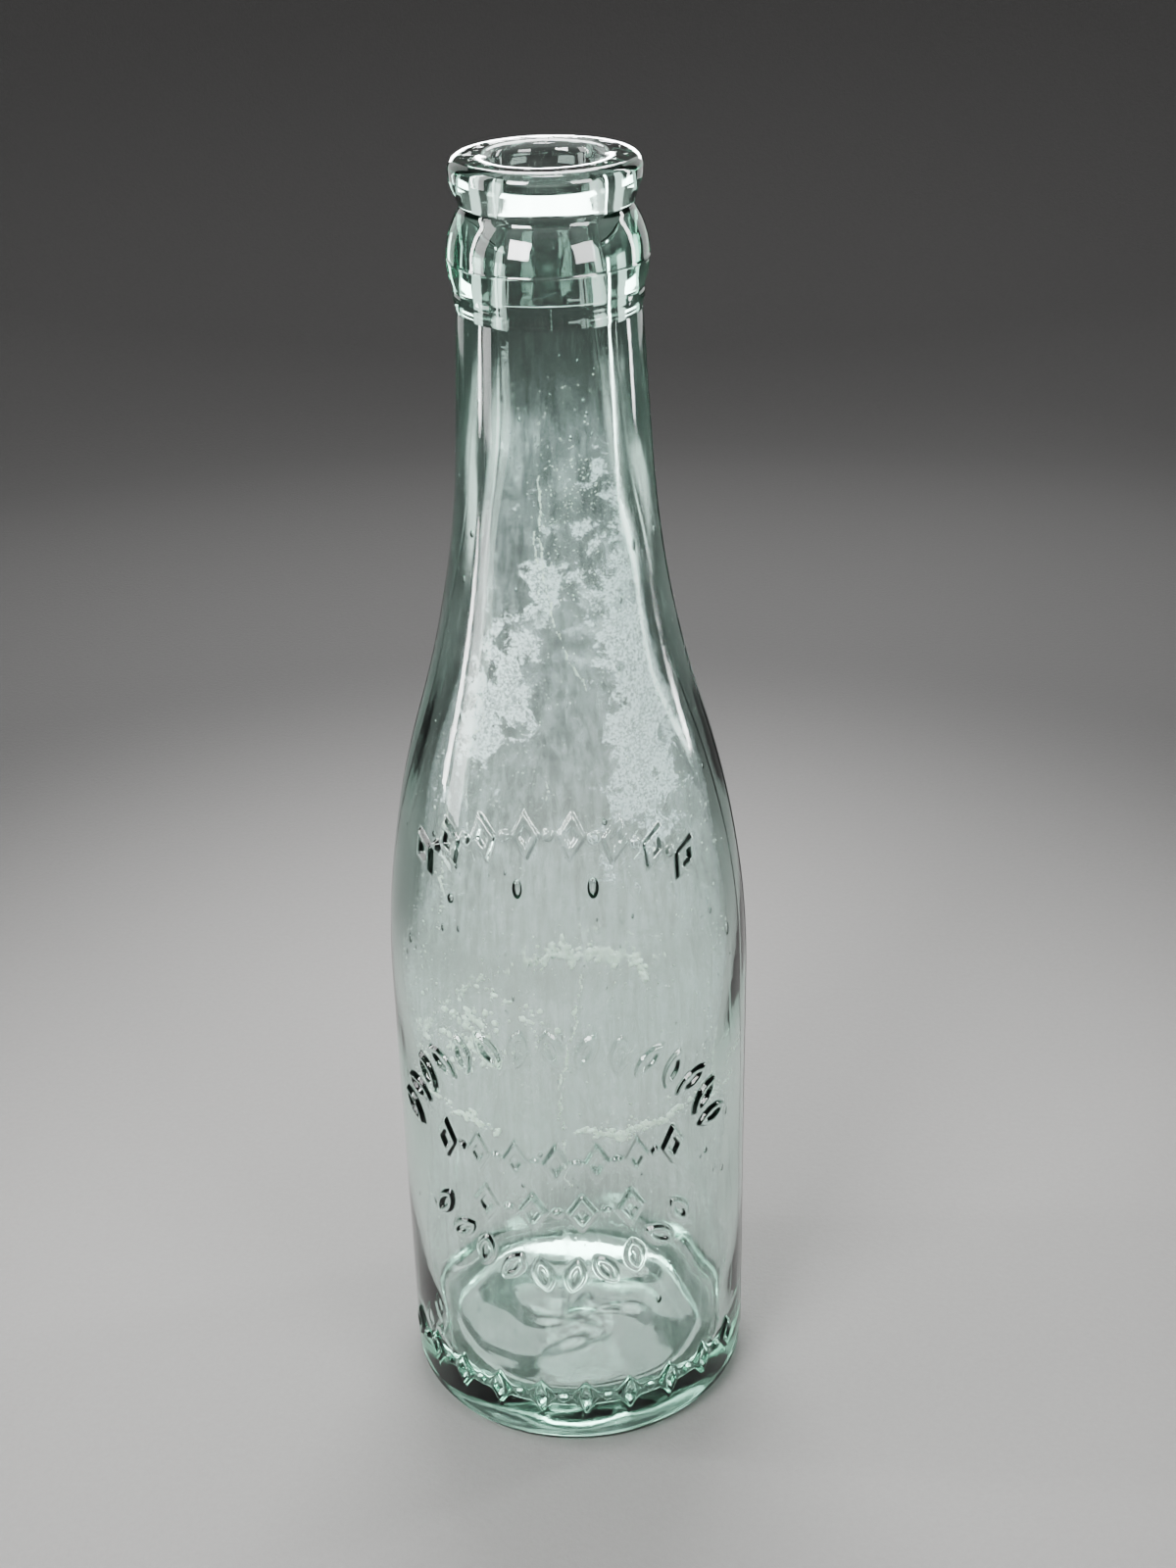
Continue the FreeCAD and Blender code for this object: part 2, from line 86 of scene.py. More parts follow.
CORNER_SOFTNESS = 0.22
OUTLINE_PITCH = 0.05

# ---------------------------------------------------------------- sizes of the surface detail
INNER_WAVE = 0.34
THROAT_WAVE = 0.02
OUTER_WAVE = 0.035
FLOOR_WAVE = 0.20
MARK_EDGE_FROM, MARK_EDGE_TO = -0.18, 0.26
EJECTOR_HEIGHT = 0.16
EJECTOR_WIDTH = 0.7
SIDE_SEAM_HEIGHT, SIDE_SEAM_WIDTH = 0.11, 0.22
HEEL_SEAM_HEIGHT, HEEL_SEAM_WIDTH, HEEL_SEAM_AT = 0.09, 0.16, 2.7
COLLAR_SEAM_HEIGHT, COLLAR_SEAM_WIDTH = 0.10, 0.14
NECK_RING_HEIGHT = 0.24
SCATTERED_SEEDS = 260
LARGE_SEED = 0.3
FILM_GAP = 0.03
FILM_THICKNESS = 0.08
FILM_ANGLE_STEP = 1.5
FILM_HEIGHT_STEP = 1.1
FILM_EDGE = 6
BODY_FILM_BOTTOM = 14.0
SCATTERED_SPECKS = 1300
LARGE_GRAIN = 0.22
MM_PER_DEGREE = 0.44

# ---------------------------------------------------------------- outline of the glass


def polar(centre, radius, degrees):
    """A point at a radius and angle from a centre."""
    angle = math.radians(degrees)
    return np.array([centre[0] + radius * math.cos(angle), centre[1] + radius * math.sin(angle)])


def arc(centre, radius, start, end):
    """Points round an arc; a falling angle goes clockwise."""
    count = max(8, int(abs(math.radians(end - start)) * radius / OUTLINE_PITCH))
    return [polar(centre, radius, a) for a in np.linspace(start, end, count)]


SHOULDER_CENTRE = (BODY_RADIUS - SHOULDER_RADIUS, SHOULDER_HEIGHT)
FLARE_CENTRE = polar(SHOULDER_CENTRE, SHOULDER_RADIUS + FLARE_RADIUS, SLOPE)
INNER_RADIUS = BODY_RADIUS - WALL
INNER_SLOPE_POINT = polar(SHOULDER_CENTRE, SHOULDER_RADIUS - WALL, SLOPE)
INNER_FLARE_RADIUS = (INNER_SLOPE_POINT[0] - BORE_RADIUS) / (1 - math.cos(math.radians(SLOPE)))
INNER_FLARE_CENTRE = polar(INNER_SLOPE_POINT, INNER_FLARE_RADIUS, SLOPE)


def base_outline():
    """Underside, from the axis to the foot ring and up the heel."""
    dome = (FOOT_INNER ** 2 + PUSH_UP ** 2) / (2 * PUSH_UP)
    edge = math.degrees(math.asin((dome - PUSH_UP) / dome))
    points = arc((0, PUSH_UP - dome), dome, 90, edge)
    points += arc((BODY_RADIUS - HEEL_RADIUS, HEEL_RADIUS), HEEL_RADIUS, -90, 0)
    return points


def finish_outline():
    """Neck ring, collar, waist, bead and lip, up to the crest of the lip."""
    collar_centre = (COLLAR_RADIUS - COLLAR_ARC, COLLAR_HEIGHT)
    collar_start = -math.degrees(math.acos((RING_RADIUS - collar_centre[0]) / COLLAR_ARC))
    waist_x = WAIST_RADIUS + WAIST_ARC
    reach = COLLAR_ARC + WAIST_ARC
    collar_end = math.degrees(math.acos((waist_x - collar_centre[0]) / reach))
    waist_centre = polar(collar_centre, reach, collar_end)
    to_bead = (BEAD_RADIUS - waist_centre[0], BEAD_BOTTOM - waist_centre[1])
    underside = math.degrees(math.atan2(to_bead[1], to_bead[0])
                             + math.acos(WAIST_ARC / math.hypot(*to_bead)))
    points = [np.array([RING_RADIUS, RING_HEIGHT])]
    points += arc(collar_centre, COLLAR_ARC, collar_start, collar_end)
    points += arc(waist_centre, WAIST_ARC, 180 + collar_end, underside)
    points.append(np.array([BEAD_RADIUS, BEAD_BOTTOM]))
    points += arc((BEAD_RADIUS - LIP_ROUND, HEIGHT - LIP_ROUND), LIP_ROUND, 0, 90)
    return points


def inner_outline():
    """Rim, throat, inner flare, inner shoulder, inner wall and floor, down to the axis."""
    points = arc((BORE_RADIUS + RIM_ROUND, HEIGHT - RIM_ROUND), RIM_ROUND, 90, 180)
    points += arc(INNER_FLARE_CENTRE, INNER_FLARE_RADIUS, 180, 180 + SLOPE)
    points += arc(SHOULDER_CENTRE, SHOULDER_RADIUS - WALL, SLOPE, 0)
    points += arc((INNER_RADIUS - FLOOR_CORNER, FLOOR_HEIGHT + FLOOR_CORNER), FLOOR_CORNER, 0, -90)
    points.append(np.array([0, FLOOR_HEIGHT]))
    return points


def even_steps(points):
    """The same polyline with points at an even pitch along it."""
    points = np.array(points, float)
    run = np.concatenate([[0], np.cumsum(np.hypot(*np.diff(points, axis=0).T))])
    at = np.linspace(0, run[-1], int(run[-1] / OUTLINE_PITCH))
    return np.stack([np.interp(at, run, points[:, k]) for k in (0, 1)], axis=1)


def soften(points, sigma):
    """Rounds the corners of an evenly stepped outline, as fire polish does, and keeps its ends."""
    reach = int(4 * sigma / OUTLINE_PITCH)
    weights = np.exp(-0.5 * (np.arange(-reach, reach + 1) * OUTLINE_PITCH / sigma) ** 2)
    weights /= weights.sum()
    padded = np.concatenate([
        2 * points[0] - points[reach:0:-1], points, 2 * points[-1] - points[-2:-reach - 2:-1]
    ])
    return np.stack([np.convolve(padded[:, k], weights, "valid") for k in (0, 1)], axis=1)


outer_points = base_outline()
outer_points += arc(SHOULDER_CENTRE, SHOULDER_RADIUS, 0, SLOPE)
outer_points += arc(FLARE_CENTRE, FLARE_RADIUS, 180 + SLOPE, 180 + NECK_TAPER)
neck_end = outer_points[-1]
neck_run = RING_HEIGHT - neck_end[1]
outer_points.append(neck_end + neck_run * np.array([-math.tan(math.radians(NECK_TAPER)), 1]))
outer_points += finish_outline()
OUTLINE = soften(even_steps(outer_points + inner_outline()), CORNER_SOFTNESS)
CREST = int(np.argmax(OUTLINE[:, 1]))
OUTER_WALL = OUTLINE[:CREST]
OUTER_WALL = OUTER_WALL[np.argmax(OUTER_WALL[:, 0] > BODY_RADIUS - HEEL_RADIUS):]
INNER_WALL = OUTLINE[CREST:]
INNER_WALL = INNER_WALL[INNER_WALL[:, 1] > FLOOR_HEIGHT + 0.02][::-1]


def outer_radius(height):
    """Plain outer radius at a height on the body, shoulder or neck."""
    return np.interp(height, OUTER_WALL[:, 1], OUTER_WALL[:, 0])


def inner_radius(height):
    """Plain inner radius at a height above the floor."""
    return np.interp(height, INNER_WALL[:, 1], INNER_WALL[:, 0])


# ---------------------------------------------------------------- unevenness of blown glass


def waves(angle_deg, height, seed, count, longest, shortest):
    """Smooth random unevenness of about unit size, periodic round the bottle."""
    rng = np.random.default_rng(seed)
    angle = np.radians(angle_deg)
    total = np.zeros(np.broadcast(angle, height).shape)
    for _ in range(count):
        turns = rng.integers(0, 6)
        per_mm = rng.choice([-1, 1]) * 2 * math.pi / rng.uniform(shortest, longest)
        phase = rng.uniform(0, 2 * math.pi)
        total += rng.uniform(0.5, 1) * np.sin(turns * angle + per_mm * height + phase)
    return total / math.sqrt(count)


def fade(value, start, end):
    """0 before start, 1 after end, smooth between them."""
    x = np.clip((value - start) / (end - start), 0, 1)
    return x * x * (3 - 2 * x)


def inner_unevenness(angle_deg, height):
    """How far the inner wall stands out from its plain radius. The throat, made by a plunger, is true."""
    amount = INNER_WAVE * (1 - fade(height, 150, 190)) + THROAT_WAVE
    return amount * waves(angle_deg, height, 11, 14, 150, 28)


def outer_unevenness(angle_deg, height):
    """The mould side is truer than the blown side."""
    amount = OUTER_WAVE * (1 - fade(height, 180, 190))
    return amount * waves(angle_deg, height, 23, 12, 90, 14)


# ---------------------------------------------------------------- raised ornament


def lozenge(width, tall):
    """A hollow lozenge, as signed distance: negative inside its stroke."""
    return lambda u, v: abs(
        (abs(u) / (width / 2) + abs(v) / (tall / 2) - 1) * width * tall / 4
        / math.hypot(width / 2, tall / 2) + STROKE / 2) - STROKE / 2


def leaf(width, tall):
    """A hollow leaf, the overlap of two circles, as signed distance."""
    centre = (tall ** 2 - width ** 2) / (4 * width)
    radius = centre + width / 2
    return lambda u, v: abs(np.hypot(abs(u) + centre, v) - radius + STROKE / 2) - STROKE / 2


def dot(diameter):
    """A round dot, as signed distance."""
    return lambda u, v: np.hypot(u, v) - diameter / 2


def straight_row(marks, height, pitch):
    """Marks side by side at one height, as (mark, along, height, tilt)."""
    middle = (len(marks) - 1) / 2
    return [(mark, (n - middle) * pitch, height, 0) for n, mark in enumerate(marks)]


def curved_row(marks, centre_height, radius, half_angle, lean=0):
    """Marks round an arch; a negative radius hangs them below its centre. Their lean alternates."""
    row = []
    for n, mark in enumerate(marks):
        angle = half_angle * (2 * n / (len(marks) - 1) - 1)
        along = abs(radius) * math.sin(math.radians(angle))
        height = centre_height + radius * math.cos(math.radians(angle))
        turn = math.copysign(angle, angle * radius) + lean * (-1) ** n
        row.append((mark, along, height, turn))
    return row


def alternate(first, second, count):
    """Two marks in turn, starting with the first."""
    return [second if n % 2 else first for n in range(count)]


ORNAMENT = (
    curved_row(alternate(lozenge(4.2, 7.2), dot(1.6), 15), 78.6, 37.4, 36)
    + curved_row([leaf(3.2, 7.0)] * 15, 52.1, 29.4, 72, lean=16)
    + straight_row(alternate(lozenge(4.2, 7.8), dot(1.6), 13), 59.8, 3.2)
    + straight_row(alternate(lozenge(4.6, 7.4), dot(1.6), 7), 50.2, 3.9)
    + curved_row([leaf(3.2, 6.6)] * 10, 66.0, -28.5, 46, lean=-16)
    + straight_row(alternate(lozenge(4.2, 6.8), dot(1.6), 19), 11.4, 3.7)
)
MARK_REACH = 5.0


def relief(angle_deg, height):
    """How far the ornament stands out, at angles and heights given as equal arrays."""
    proud = np.zeros(height.shape)
    for n, (mark, along, mark_height, tilt) in enumerate(ORNAMENT):
        radius = float(outer_radius(mark_height))
        u = np.radians(angle_deg) * radius - along
        v = height - mark_height
        near = (abs(u) < MARK_REACH) & (abs(v) < MARK_REACH)
        turn = math.radians(tilt)
        across = u[near] * math.cos(turn) - v[near] * math.sin(turn)
        upward = u[near] * math.sin(turn) + v[near] * math.cos(turn)
        struck = RELIEF_HEIGHT * (0.86 + 0.14 * math.sin(2.3 * n))
        edge = fade(-mark(across, upward), MARK_EDGE_FROM, MARK_EDGE_TO)
        proud[near] = np.maximum(proud[near], struck * edge)
    return proud


def base_mark(radius):
    """The ring that the base plate's ejector left in the middle of the underside."""
    return EJECTOR_HEIGHT * math.exp(-((radius - EJECTOR_RADIUS) / EJECTOR_WIDTH) ** 2)


def mould_seams(angle_deg, height):
    """The neck ring's bead, and fins where the mould's parts met: up both sides, round heel and collar."""
    side = np.minimum(abs(abs(angle_deg) - 90), 90) * math.pi / 180 * BODY_RADIUS
    wander = 0.15 * np.sin(height / 23)
    up = np.exp(-((side + wander) / SIDE_SEAM_WIDTH) ** 2)
    up = up * fade(height, 2.6, 4) * (1 - fade(height, 186, 188))
    turn = np.radians(angle_deg)
    heel = np.exp(-((height - HEEL_SEAM_AT - 0.12 * np.sin(turn * 2)) / HEEL_SEAM_WIDTH) ** 2)
    collar = np.exp(-((height - COLLAR_HEIGHT - 0.06 * np.sin(turn * 3)) / COLLAR_SEAM_WIDTH) ** 2)
    ring = fade(height, RING_HEIGHT - 1.0, RING_HEIGHT - 0.5)
    ring = ring * (1 - fade(height, RING_HEIGHT + 1.4, RING_HEIGHT + 2.2))
    return (SIDE_SEAM_HEIGHT * up + HEEL_SEAM_HEIGHT * heel + COLLAR_SEAM_HEIGHT * collar
            + NECK_RING_HEIGHT * ring)


# ---------------------------------------------------------------- meshes

SEAM_ANGLES = [side * 90 + d for side in (-1, 1) for d in (-1.2, -0.8, -0.5, -0.25, 0, 0.25, 0.5, 0.8, 1.2)]


def ring_angles(step, front_step=None, front=72):
    """Angles of one ring of points, finer across the front when front_step is given."""
    plain = [a for a in np.arange(-180, 180, step) if abs(abs(a) - 90) > 1.3]
    if front_step:
        plain = [a for a in plain if abs(a) > front]
        plain += list(np.arange(-front, front + front_step / 2, front_step))
    return np.array(sorted(plain + SEAM_ANGLES))


COARSE = ring_angles(2.0)
FINE = ring_angles(2.0, 0.45)
# Heights with marks in them, where the rings of points lie closer together.
ORNAMENT_BANDS = ((7.2, 15.6), (33.4, 86.0), (103.6, 121.6))
FINE_FROM, FINE_TO = 6.6, 122.5
AXIS_MARGIN = 12


def station_pitch(n):
    """Distance to the next ring of points along the outline."""
    radius, height = OUTLINE[n]
    if n < CREST:
        if height < FINE_FROM:
            return 0.35 if radius > FOOT_INNER - 2 or abs(radius - EJECTOR_RADIUS) < 1.5 else 1.5
        if any(low < height < high for low, high in ORNAMENT_BANDS):
            return 0.25
        if abs(height - COLLAR_HEIGHT) < 0.6:
            return 0.1
        return 0.3 if height > RING_HEIGHT - 1.5 else 1.2
    if height > HEIGHT - 2.5 or height < FLOOR_HEIGHT + FLOOR_CORNER:
        return 0.4 if radius > INNER_RADIUS - FLOOR_CORNER - 1 or height > FLOOR_HEIGHT + 1 else 1.5
    return 1.5


def stations():
    """Indices into OUTLINE of the rings, without the two ends on the axis."""
    chosen = []
    at = AXIS_MARGIN
    while at < len(OUTLINE) - AXIS_MARGIN:
        chosen.append(at)
        at += max(1, int(round(station_pitch(at) / OUTLINE_PITCH)))
    return chosen


def glass_ring(n):
    """Angles and points of the ring at outline index n."""
    radius, height = OUTLINE[n]
    along = OUTLINE[n + 2] - OUTLINE[n - 2]
    normal = np.array([along[1], -along[0]]) / np.hypot(*along)
    outside = n < CREST
    angles = FINE if outside and FINE_FROM < height < FINE_TO else COARSE
    heights = np.full(angles.shape, height)
    if outside:
        push = mould_seams(angles, heights) * (radius > BODY_RADIUS * 0.4)
        if radius < FOOT_INNER:
            push = push + base_mark(radius)
        push = push + outer_unevenness(angles, heights) * fade(height, 0.5, 6)
        if FINE_FROM < height < FINE_TO:
            push = push + relief(angles, heights)
    elif height > FLOOR_HEIGHT + FLOOR_CORNER:
        push = -inner_unevenness(angles, heights) * fade(height, 11, 25)
        normal = np.array([-1.0, 0.0])
    else:
        push = FLOOR_WAVE * waves(angles, radius, 31, 10, 30, 8) * fade(radius, 1, 6)
    r = radius + normal[0] * push
    z = height + normal[1] * push
    turn = np.radians(angles)
    return angles, np.stack([r * np.sin(turn), -r * np.cos(turn), z], axis=1)


def stitch(below, first_below, above, first_above):
    """Faces between two rings. Rings with the same angles give quads; others are zipped by angle."""
    count_b, count_a = len(below), len(above)
    if count_b == count_a and np.allclose(below, above):
        i = np.arange(count_b)
        j = (i + 1) % count_b
        return [(first_below + a, first_below + b, first_above + b, first_above + a)
                for a, b in zip(i, j)]
    faces = []
    b = a = 0
    while b < count_b or a < count_a:
        next_b = below[b + 1] if b + 1 < count_b else 180
        next_a = above[a + 1] if a + 1 < count_a else 180
        here_b, here_a = first_below + b % count_b, first_above + a % count_a
        if a >= count_a or (b < count_b and next_b <= next_a):
            faces.append((here_b, first_below + (b + 1) % count_b, here_a))
            b += 1
        else:
            faces.append((here_b, first_above + (a + 1) % count_a, here_a))
            a += 1
    return faces


def glass_wall():
    """Points and faces of the whole wall: a closed skin that runs up the outside and down the inside."""
    points = [np.array([[0, 0, PUSH_UP]])]
    faces = []
    before = None
    first = 1
    for n in stations():
        angles, ring = glass_ring(n)
        if before is None:
            faces += [(0, first + (k + 1) % len(angles), first + k) for k in range(len(angles))]
        else:
            faces += stitch(before[0], before[1], angles, first)
        points.append(ring)
        before = (angles, first)
        first += len(angles)
    points.append(np.array([[0, 0, FLOOR_HEIGHT]]))
    angles, start = before
    faces += [(first, start + k, start + (k + 1) % len(angles)) for k in range(len(angles))]
    return np.concatenate(points), faces


def unit_ball(subdivisions):
    """Points and faces of a small sphere, from a triangulated icosahedron."""
    golden = (1 + math.sqrt(5)) / 2
    points = [np.array(p, float) for p in (
        (-1, golden, 0), (1, golden, 0), (-1, -golden, 0), (1, -golden, 0),
        (0, -1, golden), (0, 1, golden), (0, -1, -golden), (0, 1, -golden),
        (golden, 0, -1), (golden, 0, 1), (-golden, 0, -1), (-golden, 0, 1))]
    points = [p / np.linalg.norm(p) for p in points]
    faces = [(0, 11, 5), (0, 5, 1), (0, 1, 7), (0, 7, 10), (0, 10, 11), (1, 5, 9), (5, 11, 4),
             (11, 10, 2), (10, 7, 6), (7, 1, 8), (3, 9, 4), (3, 4, 2), (3, 2, 6), (3, 6, 8),
             (3, 8, 9), (4, 9, 5), (2, 4, 11), (6, 2, 10), (8, 6, 7), (9, 8, 1)]
    for _ in range(subdivisions):
        middles = {}
        finer = []
        for a, b, c in faces:
            between = []
            for pair in ((a, b), (b, c), (c, a)):
                key = tuple(sorted(pair))
                if key not in middles:
                    middle = points[key[0]] + points[key[1]]
                    points.append(middle / np.linalg.norm(middle))
                    middles[key] = len(points) - 1
                between.append(middles[key])
            ab, bc, ca = between
            finer += [(a, ab, ca), (b, bc, ab), (c, ca, bc), (ab, bc, ca)]
        faces = finer
    return np.array(points), faces


def at_wall(angle_deg, radius, height):
    """A point at an angle from the front line, a radius and a height."""
    turn = math.radians(angle_deg)
    return np.array([radius * math.sin(turn), -radius * math.cos(turn), height])


def wall_axes(angle_deg):
    """Outward, round and upward directions at an angle, as rows."""
    turn = math.radians(angle_deg)
    return np.array([[math.sin(turn), -math.cos(turn), 0],
                     [math.cos(turn), math.sin(turn), 0],
                     [0, 0, 1]])


def seeds():
    """Bubbles frozen in the wall, drawn out upwards: each is a small closed hollow."""
    rng = np.random.default_rng(5)
    small, large = unit_ball(1), unit_ball(2)
    spots = [(-11, 107, 0.75), (15, 107, 0.85), (-36, 103, 0.6), (69, 92, 0.5), (-57, 92, 0.45)]
    for _ in range(SCATTERED_SEEDS):
        size = 0.11 + 0.32 * rng.random() ** 4
        spots.append((rng.uniform(-180, 180), rng.uniform(14, 184), size))
    points, faces, first = [], [], 0
    for angle, height, size in spots:
        inside, outside = float(inner_radius(height)), float(outer_radius(height))
        depth = rng.uniform(0.35, 0.65)
        size = min(size, 0.26 * (outside - inside))
        ball, ball_faces = large if size > LARGE_SEED else small
        drawn = size * np.array([0.7, 1.0, rng.uniform(1.1, 2.6)])
        middle = at_wall(angle, inside + depth * (outside - inside), height)
        points.append(middle + (ball * drawn) @ wall_axes(angle))
        faces += [(a + first, c + first, b + first) for a, b, c in ball_faces]
        first += len(ball)
    return np.concatenate(points), faces


def add_mesh(name, points, faces, material, slot):
    """A smooth-shaded mesh object from points in millimetres."""
    mesh = bpy.data.meshes.new(name)
    mesh.from_pydata((np.asarray(points) * MM).tolist(), [], faces)
    mesh.materials.append(material)
    mesh.polygons.foreach_set("use_smooth", [True] * len(mesh.polygons))
    mesh.update()
    piece = bpy.data.objects.new(name, mesh)
    bpy.context.scene.collection.objects.link(piece)
    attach(piece, "root")
    return piece


# ---------------------------------------------------------------- materials


class Shading:
    """A material's node tree, with short calls for the nodes this scene uses."""

    def __init__(self, name):
        self.material = bpy.data.materials.new(name)
        self.material.use_nodes = True
        self.tree = self.material.node_tree
        self.tree.nodes.clear()
        self.output = self.tree.nodes.new("ShaderNodeOutputMaterial")
        self.place = self.tree.nodes.new("ShaderNodeTexCoord").outputs["Object"]

    def add(self, kind, inputs=None, **settings):
        node = self.tree.nodes.new(kind)
        for key, value in settings.items():
            setattr(node, key, value)
        for key, value in (inputs or {}).items():
            if isinstance(value, bpy.types.NodeSocket):
                self.tree.links.new(value, node.inputs[key])
            else:
                node.inputs[key].default_value = value
        return node

    def maths(self, operation, a, b=0.0, clamp=False):
        return self.add("ShaderNodeMath", {0: a, 1: b}, operation=operation, use_clamp=clamp).outputs[0]

    def stretched(self, x, y, z):
        """Object coordinates scaled along each axis."""
        return self.add("ShaderNodeMapping", {"Vector": self.place, "Scale": (x, y, z)}).outputs[0]

    def noise(self, per_metre, detail=3.0, roughness=0.5, vector=None, distortion=0.0):
        return self.add("ShaderNodeTexNoise", {
            "Vector": vector or self.place, "Scale": per_metre, "Detail": detail,
            "Roughness": roughness, "Distortion": distortion}).outputs["Fac"]

    def cells(self, per_metre):
        """Outputs of a Voronoi pattern: the distance to the nearest cell's centre, and its colour."""
        return self.add("ShaderNodeTexVoronoi", {
            "Vector": self.place, "Scale": per_metre, "Randomness": 1.0}).outputs

    def between(self, value, low, high, to_low=0.0, to_high=1.0):
        """A smooth step from to_low at low to to_high at high."""
        return self.add("ShaderNodeMapRange", {
            "Value": value, "From Min": low, "From Max": high, "To Min": to_low, "To Max": to_high},
            interpolation_type="SMOOTHSTEP").outputs["Result"]

    def blend_colours(self, factor, first, second):
        node = self.add("ShaderNodeMix", data_type="RGBA")
        for key, value in ((0, factor), (6, first), (7, second)):
            if isinstance(value, bpy.types.NodeSocket):
                self.tree.links.new(value, node.inputs[key])
            else:
                node.inputs[key].default_value = value
        return node.outputs[2]

    def bump(self, height, strength, distance_mm):
        return self.add("ShaderNodeBump", {
            "Height": height, "Strength": strength, "Distance": distance_mm * MM}).outputs[0]

    def finish(self, surface, volume=None):
        self.tree.links.new(surface.outputs[0], self.output.inputs["Surface"])
        if volume:
            self.tree.links.new(volume.outputs[0], self.output.inputs["Volume"])
        return self.material


GLASS_TINT = (0.16, 0.86, 0.60, 1)
GLASS_DENSITY = 31.0


def glass_material():
    """Aqua soda-lime glass: green in its depth, with drawn ripples, fine pits and handling wear."""
    m = Shading("aqua_glass")
    ripple = m.noise(420, 2, 0.5)
    drawn = m.noise(900, 2, 0.5, vector=m.stretched(1, 1, 0.07))
    pits = m.between(m.cells(620)["Distance"], 0.0, 0.16)
    rare = m.between(m.noise(300, 1), 0.52, 0.6)
    pitted = m.maths("SUBTRACT", 1.0, m.maths("MULTIPLY", m.maths("SUBTRACT", 1.0, pits), rare))
    height = m.maths("ADD", m.maths("MULTIPLY", ripple, 0.5), m.maths("MULTIPLY", drawn, 0.22))
    height = m.maths("ADD", height, m.maths("MULTIPLY", pitted, 0.5))
    smear = m.between(m.noise(55, 5, 0.62), 0.45, 0.75, 0.0, 0.06)
    wiped = m.between(m.noise(620, 3, 0.6, vector=m.stretched(1, 1, 0.04)), 0.45, 0.75, 0.0, 0.12)
    scuff = m.between(m.noise(1500, 2, 0.7, vector=m.stretched(1, 1, 0.25)), 0.66, 0.74, 0.0, 0.10)
    up = m.add("ShaderNodeSeparateXYZ", {"Vector": m.place}).outputs[2]
    dulled = m.maths("MULTIPLY", m.between(up, 0.110, 0.135), m.between(up, 0.178, 0.186, 0.07, 0.0))
    worn = m.maths("ADD", m.maths("ADD", smear, wiped), m.maths("ADD", scuff, dulled))
    surface = m.add("ShaderNodeBsdfPrincipled", {
        "Base Color": (0.985, 1.0, 0.993, 1), "Roughness": worn,
        "IOR": 1.52, "Transmission Weight": 1.0, "Normal": m.bump(height, 0.35, 0.05)})
    depth = m.add("ShaderNodeVolumeAbsorption", {"Color": GLASS_TINT, "Density": GLASS_DENSITY})
    return m.finish(surface, depth)


def film_material():
    """Dried mineral haze: chalky where thick, broken by grain, washed spots and run marks."""
    m = Shading("mineral_haze")
    amount = m.add("ShaderNodeVertexColor", layer_name="deposit")
    amount = m.add("ShaderNodeSeparateColor", {"Color": amount.outputs[0]})
    dense, veil = amount.outputs[0], amount.outputs[1]
    cloud = m.noise(300, 9, 0.70, distortion=0.35)
    grain = m.noise(2300, 3, 0.75)
    level = m.maths("ADD", cloud, m.maths("MULTIPLY", dense, 0.30))
    level = m.maths("ADD", level, m.maths("MULTIPLY", m.maths("SUBTRACT", grain, 0.5), 0.16))
    crust = m.between(level, 0.655, 0.735)
    rim = m.maths("MULTIPLY", crust, m.maths("SUBTRACT", 1.0, m.between(level, 0.70, 0.80)))
    cell = m.cells(190)
    spot_size = m.add("ShaderNodeSeparateColor", {"Color": cell["Color"]}).outputs[0]
    spot_edge = m.between(spot_size, 0.5, 1.0, 0.0, 0.42)
    washed = m.between(m.maths("SUBTRACT", cell["Distance"], spot_edge), -0.02, 0.03)
    crust = m.maths("MULTIPLY", crust, m.maths("ADD", m.maths("MULTIPLY", washed, 0.85), 0.15))
    mottle = m.between(grain, 0.40, 0.60, 0.08, 1.0)
    thick = m.maths("MULTIPLY", crust, m.maths("MULTIPLY", mottle, 0.95))
    thick = m.maths("ADD", thick, m.maths("MULTIPLY", rim, 0.75))
    thick = m.maths("MULTIPLY", thick, m.between(dense, 0.02, 0.30))
    streaks = m.between(m.noise(800, 3, 0.6, vector=m.stretched(1, 1, 0.05)), 0.38, 0.68, 0.15, 1.0)
    thin = m.maths("MULTIPLY", veil, m.maths("MULTIPLY", m.between(cloud, 0.35, 0.68, 0.3, 1.0), streaks))
    alpha = m.maths("ADD", thick, thin, clamp=True)
    colour = m.blend_colours(grain, (0.86, 0.86, 0.94, 1), (0.99, 0.97, 1.0, 1))
    surface = m.add("ShaderNodeBsdfPrincipled", {
        "Base Color": colour, "Roughness": 0.75, "Alpha": alpha,
        "Normal": m.bump(grain, 0.6, 0.06)})
    return m.finish(surface)


def crust_material():
    """Grains of dried mineral, off-white, with a little painted green for the light that reaches them
    through the glass.
    """
    m = Shading("mineral_crust")
    tone = m.noise(1200, 3, 0.6)
    # The greener of the two tones holds painted green for light tinted by the glass.
    colour = m.blend_colours(m.between(tone, 0.3, 0.7), (0.86, 0.89, 0.80, 1), (0.97, 0.97, 0.94, 1))
    surface = m.add("ShaderNodeBsdfPrincipled", {
        "Base Color": colour, "Roughness": m.between(tone, 0.3, 0.7, 0.45, 0.8),
        "Normal": m.bump(m.noise(5200, 3, 0.6), 0.7, 0.04)})
    return m.finish(surface)


# ---------------------------------------------------------------- dried deposit


def wall_inside(angle_deg, height):
    """Radius of the uneven inner wall."""
    return inner_radius(height) + inner_unevenness(angle_deg, height) * fade(height, 11, 25)


def patch(angle_deg, height, centre_angle, centre_height, half_angle, half_height):
    """1 in the middle of a soft patch of deposit, falling to 0 round it."""
    turn = (angle_deg - centre_angle + 180) % 360 - 180
    return np.exp(-((turn / half_angle) ** 2 + ((height - centre_height) / half_height) ** 2))


